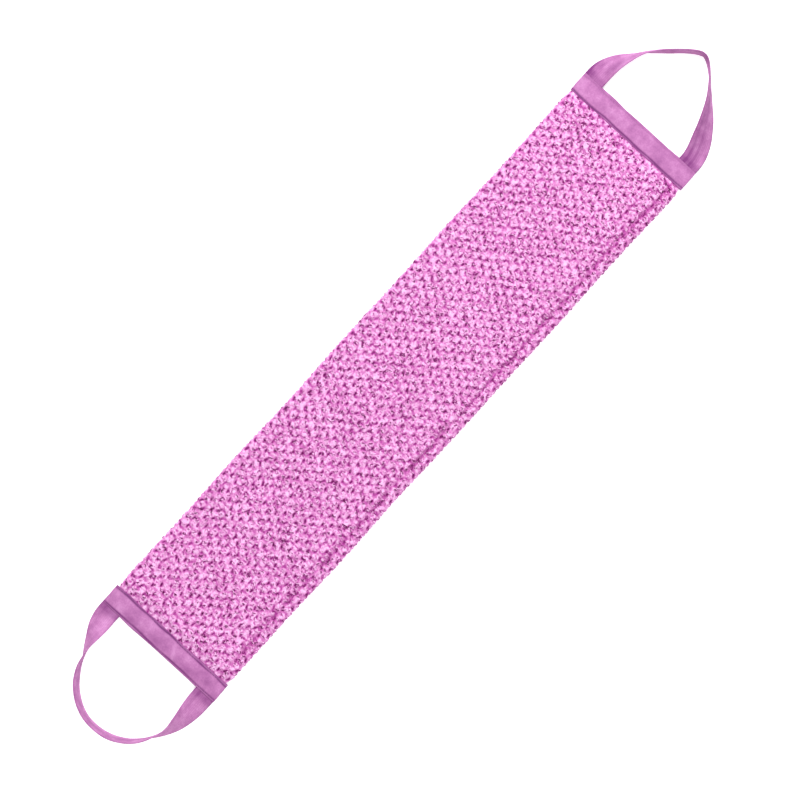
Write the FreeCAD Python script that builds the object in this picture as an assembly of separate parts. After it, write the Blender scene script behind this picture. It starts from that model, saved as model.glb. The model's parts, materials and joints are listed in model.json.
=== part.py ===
import FreeCAD, Part
import math
import os

from FreeCAD import Vector

# A knitted back scrubber strap, lying flat. X runs along the strap, Y across it and Z up.
# The origin is on the floor under the middle of the whole object, hand loops included.
# Lengths are in millimetres and angles in degrees.

# Scrubbing sleeve: a knit folded at its +Y edge and sewn shut along its -Y edge
sleeve_length = 588.0          # what shows between the two headers
sleeve_width = 130.0
sleeve_thickness = 9.0
sleeve_edge_radius = 4.0
sleeve_taper = 8.0             # the knit thins over this length where a header grips it
sleeve_count = 9               # lengths that the sleeve bends between

# Side seam, sunk in a groove in the front of the sleeve
seam_inset = 10.0
seam_groove_width = 3.0
seam_groove_floor = 1.2
seam_groove_depth = 2.0
seam_stitch = (2.6, 0.8, 0.5)  # length, width and height of one stitch
seam_pitch = 3.6

# Woven tape, which makes both the headers and the hand loops
tape_width = 20.0
tape_thickness = 0.9
header_across = 131.0
header_lift = 0.8              # the header's back stays this far above the floor
front_setback = 0.4            # the front tape stops this far short of the back tape

# The sleeve's flattened end, held between the header tapes
tab_thickness = 2.6
tab_depth = 18.5
tab_inset = 2.0

# Lockstitch rows through each header
row_inset = 1.8                # from the front tape's edges
header_stitch = (0.6, 2.3, 0.2)
header_pitch = 3.0
row_margin = 2.0

# Hand loops: ribbon that leaves each header's corners flat and turns on to its edge
loop_reach = {"left": 88.5, "right": 83.5}
loop_end_depth = 15.0          # sewn in behind the front tape
loop_lean = {"left": 15.0, "right": 10.0}
loop_floor_gap = 0.5
loop_settle = 0.22             # share of the reach by which the ribbon's lower edge is on the floor
loop_sections = 48

# Share of the reach at which the ribbon has turned all the way, on the +Y and on the -Y run
twist_share = {"left": (0.75, 0.95), "right": (0.80, 1.10)}

# How gently the turn starts on each of those runs
twist_start = {"left": (1.2, 1.2), "right": (1.1, 1.4)}

# Control points of each loop's middle line, from the +Y to the -Y corner: shares of its reach and half span
loop_route = {
    "left": [(0.00, 1.00), (0.12, 1.00), (0.42, 0.90), (0.73, 0.75), (0.98, 0.39), (1.06, -0.05),
             (0.98, -0.52), (0.73, -0.86), (0.42, -1.03), (0.15, -1.00), (0.00, -1.00)],
    "right": [(0.00, 1.00), (0.15, 1.00), (0.40, 0.87), (0.67, 0.61), (0.94, 0.21), (1.03, 0.03),
              (1.03, -0.08), (0.94, -0.23), (0.67, -0.58), (0.40, -0.82), (0.13, -1.00), (0.00, -1.00)],
}

# Room that moving neighbours keep
bend_clearance = 0.3
fold_offset = 2.2              # the loop's fold line lies this far outside the header

# Places that follow from the sizes
strap_length = sleeve_length + 2 * tape_width
whole_length = loop_reach["left"] + strap_length + loop_reach["right"]
side_sign = {"left": -1, "right": 1}
header_edge = {
    "left": -whole_length / 2 + loop_reach["left"],
    "right": whole_length / 2 - loop_reach["right"],
}
sleeve_low = header_edge["left"] + tape_width
bend_pitch = sleeve_length / sleeve_count
bend_radius = sleeve_thickness / 2
bend_z = sleeve_thickness / 2
bend_x = [sleeve_low + bend_pitch * index for index in range(1, sleeve_count)]
tab_low = header_lift + tape_thickness
tab_high = tab_low + tab_thickness
front_low = tab_high
front_high = front_low + tape_thickness
ribbon_z = tab_high - tape_thickness / 2
ribbon_y = header_across / 2 - tape_width / 2
seam_y = -sleeve_width / 2 + seam_inset


def box(x_range, y_range, z_range):
    """A box between two values along each axis, given in any order."""
    low = [min(pair) for pair in (x_range, y_range, z_range)]
    size = [abs(pair[1] - pair[0]) for pair in (x_range, y_range, z_range)]
    return Part.makeBox(*size, Vector(*low))


def rod(x, z, radius, y_range):
    """A cylinder along Y."""
    length = y_range[1] - y_range[0]
    return Part.makeCylinder(radius, length, Vector(x, y_range[0], z), Vector(0, 1, 0))


def save(name, shape):
    shape.exportStep("parts/" + name + ".step")


def sleeve_outline():
    """The sleeve's cross-section at X = 0: a flat tube with round edges and a seam groove."""
    half = sleeve_width / 2
    top = sleeve_thickness
    radius = sleeve_edge_radius
    short = radius * (1 - math.sqrt(0.5))
    groove_half = seam_groove_width / 2
    floor_half = seam_groove_floor / 2
    groove_z = top - seam_groove_depth
    corners = [
        (half - radius, 0), (half - short, short), (half, radius),
        (half, top - radius), (half - short, top - short), (half - radius, top),
        (seam_y + groove_half, top), (seam_y + floor_half, groove_z),
        (seam_y - floor_half, groove_z), (seam_y - groove_half, top),
        (radius - half, top), (short - half, top - short), (-half, top - radius),
        (-half, radius), (short - half, short), (radius - half, 0),
    ]
    points = [Vector(0, y, z) for y, z in corners]
    arc_starts = (0, 3, 10, 13)
    edges = []
    index = 0
    while index < len(points):
        if index in arc_starts:
            edges.append(Part.Arc(*points[index:index + 3]).toShape())
            index += 2
            continue
        if index + 1 < len(points):
            edges.append(Part.LineSegment(points[index], points[index + 1]).toShape())
        index += 1
    edges.append(Part.LineSegment(points[-1], points[0]).toShape())
    return Part.Face(Part.Wire(edges))


def sleeve_run(x_low, x_high):
    """A straight run of the sleeve."""
    face = sleeve_outline()
    face.translate(Vector(x_low, 0, 0))
    return face.extrude(Vector(x_high - x_low, 0, 0))


def round_end(x):
    """The half-round that finishes a length of sleeve at the bend line at x."""
    run = sleeve_run(x, x + bend_radius)
    barrel = rod(x, bend_z, bend_radius, (-sleeve_width, sleeve_width))
    return run.common(barrel)


def gripped_end(side, x_inner):
    """The last length of sleeve beside a header, from x_inner out to its flattened tab."""
    sign = side_sign[side]
    x_header = header_edge[side] - sign * tape_width
    x_taper = x_header - sign * sleeve_taper
    x_taper_back = x_header - sign * sleeve_taper / 2
    corners = [
        (x_inner, 0), (x_taper_back, 0), (x_header, tab_low),
        (x_header, tab_high), (x_taper, sleeve_thickness), (x_inner, sleeve_thickness),
    ]
    points = [Vector(x, -sleeve_width, z) for x, z in corners]
    side_face = Part.Face(Part.makePolygon(points + points[:1]))
    wedge = side_face.extrude(Vector(0, 2 * sleeve_width, 0))
    body = sleeve_run(min(x_inner, x_header), max(x_inner, x_header)).common(wedge)
    half = sleeve_width / 2 - tab_inset
    x_end = x_header + sign * tab_depth
    tab = box((x_header, x_end), (-half, half), (tab_low, tab_high))
    for run_sign in (-1, 1):
        y_inner = run_sign * (ribbon_y - tape_width / 2)
        x_ribbon = header_edge[side] - sign * loop_end_depth
        pocket = box((x_ribbon, x_end), (y_inner, run_sign * half), (tab_high - tape_thickness, tab_high))
        tab = tab.cut(pocket)
    return body.fuse(tab).removeSplitter()


def seam_stitches(x_low, x_high):
    """The side seam's stitches in the groove between two places, evenly spread."""
    length, width, height = seam_stitch
    room = x_high - x_low - length
    count = int(room / seam_pitch) + 1
    start = (x_low + x_high) / 2 - (count - 1) * seam_pitch / 2
    floor_z = sleeve_thickness - seam_groove_depth
    stitches = []
    for index in range(count):
        x = start + index * seam_pitch
        stitches.append(box(
            (x - length / 2, x + length / 2),
            (seam_y - width / 2, seam_y + width / 2),
            (floor_z, floor_z + height),
        ))
    return Part.makeCompound(stitches)


def make_sleeve():
    """Every length of the sleeve, with the seam thread that lies in it."""
    for number in range(1, sleeve_count + 1):
        first = number == 1
        last = number == sleeve_count
        x_low = sleeve_low if first else bend_x[number - 2] + bend_radius + bend_clearance
        x_high = sleeve_low + sleeve_length if last else bend_x[number - 1]
        if first:
            body = gripped_end("left", x_high)
        elif last:
            body = gripped_end("right", x_low)
        else:
            body = sleeve_run(x_low, x_high)
        if not last:
            body = body.fuse(round_end(x_high)).removeSplitter()
        save("knit_sleeve_%d" % number, body)
        thread_low = x_low + (sleeve_taper if first else 0)
        thread_high = x_high - (sleeve_taper if last else 0)
        save("side_seam_thread_%d" % number, seam_stitches(thread_low, thread_high))


def header_row(x, z_low):
    """One lockstitch row across a header, on the face at z_low."""
    length, depth, height = header_stitch[1], header_stitch[0], header_stitch[2]
    room = header_across - 2 * row_margin - length
    count = int(room / header_pitch) + 1
    start = -(count - 1) * header_pitch / 2
    stitches = []
    for index in range(count):
        y = start + index * header_pitch
        stitches.append(box(
            (x - depth / 2, x + depth / 2),
            (y - length / 2, y + length / 2),
            (z_low, z_low + height),
        ))
    return Part.makeCompound(stitches)


def make_header(side):
    """The two tapes at one end of the sleeve and the stitch rows through them."""
    sign = side_sign[side]
    edge = header_edge[side]
    x_inner = edge - sign * tape_width
    x_front = edge - sign * front_setback
    across = (-header_across / 2, header_across / 2)
    save(side + "_front_header_tape", box((x_inner, x_front), across, (front_low, front_high)))
    save(side + "_back_header_tape", box((x_inner, edge), across, (header_lift, tab_low)))
    rows = {"outer": x_front - sign * row_inset, "inner": x_inner + sign * row_inset}
    bobbin_z = header_lift - header_stitch[2]
    for place, x in rows.items():
        save("%s_%s_needle_stitches" % (side, place), header_row(x, front_high))
        save("%s_%s_bobbin_stitches" % (side, place), header_row(x, bobbin_z))


def make_loop_ends(side):
    """The two sewn-in ends of one hand loop, as far as the fold line."""
    sign = side_sign[side]
    x_sewn = header_edge[side] - sign * loop_end_depth
    x_fold = header_edge[side] + sign * fold_offset
    half = tape_thickness / 2
    ends = []
    for run_sign in (-1, 1):
        y_middle = run_sign * ribbon_y
        y_range = (y_middle - tape_width / 2, y_middle + tape_width / 2)
        flat = box((x_sewn, x_fold), y_range, (ribbon_z - half, ribbon_z + half))
        ends.append(flat.fuse(rod(x_fold, ribbon_z, half, y_range)).removeSplitter())
    save(side + "_loop_ends", Part.makeCompound(ends))


def ease(share):
    """0 to 1, level at both ends."""
    share = min(max(share, 0.0), 1.0)
    return share * share * (3 - 2 * share)


def ribbon_section(side, point, tangent):
    """The ribbon's rectangle at one place on the loop's middle line."""
    sign = side_sign[side]
    x_start = header_edge[side] + sign * fold_offset
    share = abs(point.x - x_start) / middle_reach(side)
    run = 0 if point.y > 0 else 1
    turned = math.sin(math.pi / 2 * min(share / twist_share[side][run], 1)) ** twist_start[side][run]
    turn = math.radians(90 + loop_lean[side]) * turned
    outward = Vector(tangent.y, -tangent.x, 0).normalize() * -sign
    across = outward * math.cos(turn) + Vector(0, 0, -math.sin(turn))
    normal = tangent.cross(across)
    lying_z = (
        loop_floor_gap
        + abs(math.sin(turn)) * tape_width / 2
        + abs(math.cos(turn)) * tape_thickness / 2
    )
    settled = ease(share / loop_settle)
    z = ribbon_z * (1 - settled) + lying_z * settled
    centre = Vector(point.x, point.y, z)
    corners = [
        centre + across * (a * tape_width / 2) + normal * (b * tape_thickness / 2)
        for a, b in ((-1, -1), (1, -1), (1, 1), (-1, 1))
    ]
    return Part.makePolygon(corners + corners[:1])


def middle_reach(side):
    """How far the loop's middle line goes out from its fold line."""
    lean = math.radians(loop_lean[side])
    overhang = math.sin(lean) * tape_width / 2 + math.cos(lean) * tape_thickness / 2
    return loop_reach[side] - fold_offset - overhang


def loop_line(side):
    """The middle line of one hand loop, seen from above, between its two fold clearances."""
    sign = side_sign[side]
    x_start = header_edge[side] + sign * (fold_offset + tape_thickness / 2 + bend_clearance)
    line = Part.BSplineCurve()
    line.buildFromPoles([Vector(out, across, 0) for out, across in loop_route[side]], False, 3)
    furthest = max(line.value(index / 200).x for index in range(201))
    reach = header_edge[side] + sign * (fold_offset + middle_reach(side)) - x_start
    poles = [
        Vector(x_start + reach * out / furthest, ribbon_y * across, 0)
        for out, across in loop_route[side]
    ]
    line.buildFromPoles(poles, False, 3)
    return line


def make_loop(side):
    """One hand loop, lofted along its middle line."""
    line = loop_line(side)
    first, last = line.FirstParameter, line.LastParameter
    sections = []
    for index in range(loop_sections + 1):
        at = first + (last - first) * index / loop_sections
        sections.append(ribbon_section(side, line.value(at), Vector(*line.tangent(at)[0])))
    save(side + "_hand_loop", Part.makeLoft(sections, True, True))


os.makedirs("parts", exist_ok=True)
make_sleeve()
for end_side in ("left", "right"):
    make_header(end_side)
    make_loop_ends(end_side)
    make_loop(end_side)
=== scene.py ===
import json
import math

import bpy
import numpy as np
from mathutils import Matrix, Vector


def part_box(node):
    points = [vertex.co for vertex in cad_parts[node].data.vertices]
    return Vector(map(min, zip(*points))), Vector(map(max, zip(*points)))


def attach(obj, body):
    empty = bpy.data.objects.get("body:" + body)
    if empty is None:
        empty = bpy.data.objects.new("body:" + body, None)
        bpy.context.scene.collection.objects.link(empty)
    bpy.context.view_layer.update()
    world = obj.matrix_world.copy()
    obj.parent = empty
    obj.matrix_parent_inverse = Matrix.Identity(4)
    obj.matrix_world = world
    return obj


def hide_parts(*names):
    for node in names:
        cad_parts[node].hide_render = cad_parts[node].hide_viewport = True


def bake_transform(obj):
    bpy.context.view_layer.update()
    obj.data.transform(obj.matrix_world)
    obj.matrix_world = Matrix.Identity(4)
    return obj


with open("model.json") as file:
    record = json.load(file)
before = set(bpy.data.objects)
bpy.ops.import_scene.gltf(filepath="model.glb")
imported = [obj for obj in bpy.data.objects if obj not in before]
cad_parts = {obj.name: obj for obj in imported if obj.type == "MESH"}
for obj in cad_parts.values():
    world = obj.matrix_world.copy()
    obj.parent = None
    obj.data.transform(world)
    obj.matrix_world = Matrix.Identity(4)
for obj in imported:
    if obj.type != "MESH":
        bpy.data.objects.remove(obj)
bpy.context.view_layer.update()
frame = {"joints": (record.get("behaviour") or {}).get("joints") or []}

# Lengths are in metres, in the CAD's frame: X along the strap, Y across it, Z up.
MM = 0.001
SEED = 7

# Where the CAD puts the strap's pieces
LENGTHS = 9
BENDS = [j["pos_m"][0] for j in frame["joints"] if j["name"].startswith("strap_bend")]
BEND_PITCH = BENDS[1] - BENDS[0]
HEADER = {side: (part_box(side + "_back_header_tape"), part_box(side + "_front_header_tape"))
          for side in ("left", "right")}
SIGN = {"left": -1, "right": 1}
HEADER_BODY = {"left": "strap_length_1", "right": "strap_length_%d" % LENGTHS}
SLEEVE_LOW = HEADER["left"][0][1].x
SLEEVE_HIGH = HEADER["right"][0][0].x
SLEEVE_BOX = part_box("knit_sleeve_5")
SEAM_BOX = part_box("side_seam_thread_5")
SEAM_Y = (SEAM_BOX[0].y + SEAM_BOX[1].y) / 2
TAPE_THICK = HEADER["left"][0][1].z - HEADER["left"][0][0].z

# The knit: rows of puffed tufts right round the sleeve, each row half a tuft on from the last
TUFTS_ALONG = 61
ROWS_ROUND = 42
TUFT_CLOSING = 0.05            # the tufts lie closer together towards +X
TUFT_LENGTH = 6.0 * MM         # half sizes of one tuft
TUFT_WIDTH = 4.6 * MM
TUFT_HEIGHT = 2.0 * MM
TUFT_MARGIN = 6                # spare tufts drawn past each end of the sleeve
VALLEY = 0.38                  # height between the tufts, as a share of theirs
PIT_LENGTH = 2.0 * MM          # half sizes of the open stitch under each tuft
PIT_WIDTH = 0.9 * MM
BACK_SHARE = 0.75              # the tufts underneath are pressed flatter
SIDE_SHARE = 0.60              # and so are those on the two edges
EDGE_INSET = 1.4 * MM          # from the sleeve's full width in to its valley line
GRID = 0.95 * MM               # spacing of the knit surface's points
FRIZZ = 0.16 * MM              # how far those points stray
TAPER = 11.0 * MM              # length over which a header squeezes the sleeve
GRIP_START = 1.5 * MM          # inside the header's edge, where that squeeze is complete
TUCK = 7.0 * MM                # how far the sleeve runs in between the header tapes
TAPE_GAP = 0.15 * MM           # between the sleeve's end and each tape
KNIT_FLOOR = 0.15 * MM         # the lowest point of the knit surface
SEAM_DEPTH = 2.0 * MM          # of the groove along the side seam, and half its width
SEAM_WIDTH = 2.3 * MM
LOOPS_PER_TUFT = 9
LOOP_RADIUS = 0.47 * MM
DARK_LOOPS = 0.22              # share of the loops that keep the deeper dye
DARK_DROP = 1.2                # and how much deeper it is
FUZZ_PER_TUFT = 12
LOOPS_CLEAR = 2.2 * MM         # of a header's edge, and the fibres too
FIBRES_CLEAR = 1.5 * MM

# Hand loops, as the CAD draws them
LOOP_LEAN = {"left": math.radians(15), "right": math.radians(10)}
LOOP_SETTLE = 0.22
LOOP_FLOOR = 0.5 * MM
TWIST_SHARE = {"left": (0.75, 0.95), "right": (0.80, 1.10)}
TWIST_START = {"left": (1.2, 1.2), "right": (1.1, 1.4)}
LOOP_ROUTE = {
    "left": [(0.00, 1.00), (0.12, 1.00), (0.42, 0.90), (0.73, 0.75), (0.98, 0.39), (1.06, -0.05),
             (0.98, -0.52), (0.73, -0.86), (0.42, -1.03), (0.15, -1.00), (0.00, -1.00)],
    "right": [(0.00, 1.00), (0.15, 1.00), (0.40, 0.87), (0.67, 0.61), (0.94, 0.21), (1.03, 0.03),
              (1.03, -0.08), (0.94, -0.23), (0.67, -0.58), (0.40, -0.82), (0.13, -1.00), (0.00, -1.00)],
}
RIBBON_WIDTH = 20 * MM
RIBBON_THICK = 0.9 * MM

# Header stitches: hole to hole, length and radius
STITCH_PITCH = 3.0 * MM
STITCH_LONG = 2.7 * MM
STITCH_RADIUS = 0.30 * MM

# Patches of painted shade on each front tape, in millimetres: middle along it, and out from
# its centre line towards the loop; half length, half width, and how dark
SHADE_PATCHES = {
    "left": [(37, 5.0, 9, 3.5, 0.42), (9, 4.5, 10, 3.0, 0.30), (1, -4.5, 9, 3.0, 0.20),
             (-29, 4.5, 9, 4.0, 0.36), (-50, 1.0, 9, 5.0, 0.12)],
    "right": [(-30, 3.0, 12, 4.0, 0.12), (25, -3.0, 14, 4.0, 0.12)],
}
KINK_AT = -14 * MM             # where the left front tape has a slanting ridge, at its outer stitch row
KINK_SLANT = 0.5

rng = np.random.default_rng(SEED)


# ---------------------------------------------------------------- small helpers

def ease(x):
    """0 to 1, level at both ends."""
    x = np.clip(x, 0.0, 1.0)
    return x * x * (3 - 2 * x)


def wander(x, wave, seed, reach=1.0):
    """A smooth random line through x, changing over about one wave."""
    draw = np.random.default_rng(seed)
    knots = draw.uniform(-reach, reach, 4096)
    at = np.asarray(x, float) / wave + 1000.0
    low = np.floor(at).astype(int)
    share = ease(at - low)
    return knots[low % 4096] * (1 - share) + knots[(low + 1) % 4096] * share


def blotches(x, y, wave, seed):
    """A smooth random field from -1 to 1 over a plane."""
    draw = np.random.default_rng(seed)
    knots = draw.uniform(-1, 1, (256, 256))
    ax, ay = np.asarray(x, float) / wave + 100.0, np.asarray(y, float) / wave + 100.0
    lx, ly = np.floor(ax).astype(int), np.floor(ay).astype(int)
    sx, sy = ease(ax - lx), ease(ay - ly)
    lx, ly = lx % 255, ly % 255
    low = knots[lx, ly] * (1 - sx) + knots[lx + 1, ly] * sx
    high = knots[lx, ly + 1] * (1 - sx) + knots[lx + 1, ly + 1] * sx
    return low * (1 - sy) + high * sy


def make_mesh(name, points, faces, material, attributes=None, smooth=True):
    """A mesh object from arrays. Attributes are one number per point."""
    mesh = bpy.data.meshes.new(name)
    points = np.asarray(points, np.float32)
    faces = np.asarray(faces, np.int32)
    mesh.vertices.add(len(points))
    mesh.vertices.foreach_set("co", points.ravel())
    mesh.loops.add(faces.size)
    mesh.loops.foreach_set("vertex_index", faces.ravel())
    mesh.polygons.add(len(faces))
    starts = np.arange(0, faces.size, faces.shape[1], dtype=np.int32)
    mesh.polygons.foreach_set("loop_start", starts)
    mesh.update(calc_edges=True)
    mesh.polygons.foreach_set("use_smooth", np.full(len(faces), smooth))
    for key, values in (attributes or {}).items():
        layer = mesh.attributes.new(key, "FLOAT", "POINT")
        layer.data.foreach_set("value", np.asarray(values, np.float32))
    mesh.materials.append(material)
    piece = bpy.data.objects.new(name, mesh)
    bpy.context.scene.collection.objects.link(piece)
    return piece


def grid_faces(rows, columns, closed):
    """Quads over a grid of points, stored row by row. Closed joins the last column to the first."""
    row = np.arange(rows - 1)[:, None]
    column = np.arange(columns if closed else columns - 1)[None, :]
    here = row * columns + column
    right = row * columns + (column + 1) % columns
    return np.stack([here, here + columns, right + columns, right], -1).reshape(-1, 4)


# ---------------------------------------------------------------- materials

class Nodes:
    """Shorthand for wiring one material's nodes."""

    def __init__(self, name):
        self.material = bpy.data.materials.new(name)
        self.material.use_nodes = True
        self.tree = self.material.node_tree
        self.shader = self.tree.nodes["Principled BSDF"]

    def add(self, kind, **settings):
        node = self.tree.nodes.new(kind)
        for key, value in settings.items():
            setattr(node, key, value)
        return node

    def link(self, source, target):
        self.tree.links.new(source, target)

    def attribute(self, name):
        return self.add("ShaderNodeAttribute", attribute_name=name).outputs["Fac"]

    def math(self, operation, a, b=0.0):
        node = self.add("ShaderNodeMath", operation=operation)
        for socket, value in zip(node.inputs, (a, b)):
            if isinstance(value, (int, float)):
                socket.default_value = value
            else:
                self.link(value, socket)
        return node.outputs[0]

    def noise(self, scale, detail):
        place = self.add("ShaderNodeTexCoord")
        node = self.add("ShaderNodeTexNoise")
        node.inputs["Scale"].default_value = scale
        node.inputs["Detail"].default_value = detail
        self.link(place.outputs["Object"], node.inputs["Vector"])
        return node.outputs["Fac"]

    def ramp(self, factor, stops):
        node = self.add("ShaderNodeValToRGB")
        ramp = node.color_ramp
        while len(ramp.elements) < len(stops):
            ramp.elements.new(0.5)
        for element, (place, colour) in zip(ramp.elements, stops):
            element.position = place
            element.color = (*colour, 1)
        self.link(factor, node.inputs["Fac"])
        return node.outputs["Color"]

    def mix(self, factor, a, b, how="MIX"):
        node = self.add("ShaderNodeMix", data_type="RGBA", blend_type=how)
        for socket, value in ((node.inputs[0], factor), (node.inputs[6], a), (node.inputs[7], b)):
            if isinstance(value, (int, float)):
                socket.default_value = value
            elif isinstance(value, tuple):
                socket.default_value = (*value, 1)
            else:
                self.link(value, socket)
        return node.outputs[2]

    def bump(self, height, strength, distance):
        node = self.add("ShaderNodeBump")
        node.inputs["Strength"].default_value = strength
        node.inputs["Distance"].default_value = distance
        self.link(height, node.inputs["Height"])
        self.link(node.outputs["Normal"], self.shader.inputs["Normal"])

    def cloth(self, roughness, sheen, tint):
        self.shader.inputs["Roughness"].default_value = roughness
        self.shader.inputs["Specular IOR Level"].default_value = 0.25
        self.shader.inputs["Sheen Weight"].default_value = sheen
        self.shader.inputs["Sheen Roughness"].default_value = 0.45
        self.shader.inputs["Sheen Tint"].default_value = (*tint, 1)


# The knit's colours, set by height: deep painted shade in the open stitches, up to the pale tuft tops
PIT = (0.13, 0.006, 0.085)
DEEP = (0.40, 0.055, 0.30)
ROSE = (0.64, 0.225, 0.52)
PALE = (0.86, 0.50, 0.79)

# The woven tape's, and the threads'. The first is the plum of the painted shade in the tapes' and ribbons'
# furrows, creases and pleats.
SHADE_PLUM = (0.15, 0.014, 0.14)
ORCHID = (0.470, 0.172, 0.405)
ORCHID_DARK = (0.320, 0.098, 0.285)
ORCHID_LIGHT = (0.630, 0.285, 0.560)
PLUM = (0.10, 0.02, 0.10)
PLUM_LIGHT = (0.25, 0.07, 0.23)
MAGENTA = (0.30, 0.03, 0.22)
MAGENTA_LIGHT = (0.55, 0.12, 0.42)


def knit_material():
    """Looped terry: pale tuft tops, rose sides and deep magenta painted shade between the tufts, set by the
    knit's height.
    """
    n = Nodes("terry_knit")
    speckle = n.noise(450, 4)
    patch = n.noise(14, 2)
    # Painted shade: the knit's height, dimmed along the side seam's groove, picks how dark it is
    height = n.attribute("tuft_painted_shade")
    lifted = n.math("ADD", height, n.math("MULTIPLY", n.math("SUBTRACT", speckle, 0.5), 1.2))
    shade = n.math("ADD", lifted, n.math("MULTIPLY", n.math("SUBTRACT", patch, 0.5), 0.06))
    colour = n.ramp(shade, [(0.14, PIT), (0.42, DEEP), (0.78, ROSE), (1.00, PALE)])
    n.link(colour, n.shader.inputs["Base Color"])
    n.cloth(0.92, 0.12, PALE)
    n.bump(n.noise(1400, 4), 0.7, 0.0006)
    return n.material


def loop_material():
    """Soft terry yarn: deep magenta painted shade down at the root, pale and broken by fibre on top."""
    n = Nodes("terry_yarn")
    speckle = n.noise(340, 5)
    level = n.attribute("loop_painted_shade")
    tone = n.attribute("loop_tone")
    shade = n.math("ADD", n.math("MULTIPLY", level, 0.54), n.math("MULTIPLY", tone, 0.36))
    shade = n.math("ADD", shade, n.math("MULTIPLY", n.math("SUBTRACT", speckle, 0.5), 4.0))
    colour = n.ramp(shade, [(0.05, PIT), (0.22, DEEP), (0.44, ROSE), (0.69, PALE)])
    n.link(colour, n.shader.inputs["Base Color"])
    n.cloth(0.92, 0.12, PALE)
    n.bump(n.noise(1600, 3), 0.6, 0.0004)
    return n.material


def fuzz_material():
    """The curled fibre ends that stand off the tufts: pale, with painted shade darkening them near the root
    and where they stand low in the knit.
    """
    n = Nodes("terry_fibre")
    along = n.attribute("fibre_along")
    tone = n.attribute("fibre_tone")
    shade = n.math("ADD", n.math("MULTIPLY", along, 0.45), n.math("MULTIPLY", tone, 0.6))
    colour = n.ramp(shade, [(0.05, DEEP), (0.35, ROSE), (0.85, PALE)])
    n.link(colour, n.shader.inputs["Base Color"])
    n.cloth(0.85, 0.5, PALE)
    return n.material


def tape_material(name, ribs):
    """Plain-weave tape: fine crossing yarns, ribs, mottled dye, painted shade in its furrows, creases and
    pleats, paler worn edges, and a painted highlight along the left tape's ridge.
    """
    n = Nodes(name)
    along = n.math("MULTIPLY", n.attribute("yarn_along"), 2 * math.pi / (0.62 * MM))
    across = n.math("MULTIPLY", n.attribute("yarn_across"), 2 * math.pi / (0.50 * MM))
    weave = n.math("MULTIPLY", n.math("SINE", along), n.math("SINE", across))
    mottle = n.noise(95, 5)
    fine = n.noise(700, 3)
    rib = n.math("SINE", n.math("MULTIPLY", n.attribute("yarn_across"), 2 * math.pi / (1.7 * MM)))
    tone = n.math("ADD", n.math("MULTIPLY", mottle, 0.72), n.math("MULTIPLY", fine, 0.28))
    tone = n.math("ADD", tone, n.math("MULTIPLY", rib, ribs))
    colour = n.ramp(tone, [(0.28, ORCHID_DARK), (0.51, ORCHID), (0.74, ORCHID_LIGHT)])
    yarn = n.math("ADD", n.math("MULTIPLY", weave, 0.09), 0.93)
    colour = n.mix(1.0, colour, n.ramp(yarn, [(0.0, (0, 0, 0)), (1.0, (1, 1, 1))]), "MULTIPLY")
    # Paler worn edges, and on the left tape a painted highlight along its slanting ridge
    edge = n.attribute("wear_and_highlight")
    colour = n.mix(n.math("MULTIPLY", edge, 0.55), colour, ORCHID_LIGHT)
    # Painted shade along furrows, creases, pleats and tucked edges
    colour = n.mix(n.attribute("painted_shade"), colour, SHADE_PLUM)
    n.link(colour, n.shader.inputs["Base Color"])
    n.cloth(0.78, 0.16, ORCHID_LIGHT)
    n.bump(n.math("ADD", weave, n.math("MULTIPLY", fine, 0.8)), 0.45, 0.00012)
    return n.material


def thread_material(name, base, light):
    """Spun polyester thread: two plies twisting along each stitch."""
    n = Nodes(name)
    turn = n.math("ADD", n.math("MULTIPLY", n.attribute("ply_along"), 2 * math.pi / (0.7 * MM)),
                  n.attribute("ply_round"))
    ply = n.math("ADD", n.math("MULTIPLY", n.math("SINE", turn), 0.5), 0.5)
    colour = n.ramp(ply, [(0.0, base), (1.0, light)])
    n.link(colour, n.shader.inputs["Base Color"])
    n.cloth(0.55, 0.1, light)
    n.bump(ply, 0.6, 0.00008)
    return n.material


# ---------------------------------------------------------------- the sleeve

class Profile:
    """The sleeve's valley line in its cross-section, which the tufts stand on.

    The distance round it starts at the middle of the -Y edge, runs over the front to the +Y edge
    and comes back underneath."""

    def __init__(self):
        low, high = SLEEVE_BOX
        self.top = high.z - TUFT_HEIGHT
        self.bottom = low.z + TUFT_HEIGHT * BACK_SHARE
        self.radius = (self.top - self.bottom) / 2
        self.middle = (self.top + self.bottom) / 2
        self.flat = (high.y - low.y) / 2 - EDGE_INSET - self.radius
        self.arc = math.pi * self.radius
        self.total = 4 * self.flat + 2 * self.arc

    def at(self, s):
        """Y, Z and the outward normal's Y and Z at a distance round the sleeve."""
        s = np.mod(s + self.arc / 2, self.total)
        near = s < self.arc
        front = (s >= self.arc) & (s < self.arc + 2 * self.flat)
        far = (s >= self.arc + 2 * self.flat) & (s < 2 * self.arc + 2 * self.flat)
        near_turn = 1.5 * math.pi - s / self.radius
        far_turn = math.pi / 2 - (s - self.arc - 2 * self.flat) / self.radius
        turn = np.where(near, near_turn, np.where(far, far_turn, 0.0))
        ny = np.where(near | far, np.cos(turn), 0.0)
        nz = np.where(near | far, np.sin(turn), np.where(front, 1.0, -1.0))
        front_y = s - self.arc - self.flat
        back_y = self.flat - (s - 2 * self.arc - 2 * self.flat)
        y = np.where(near, -self.flat + self.radius * ny,
                     np.where(far, self.flat + self.radius * ny, np.where(front, front_y, back_y)))
        z = self.middle + self.radius * nz
        return y, z, ny, nz


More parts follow.
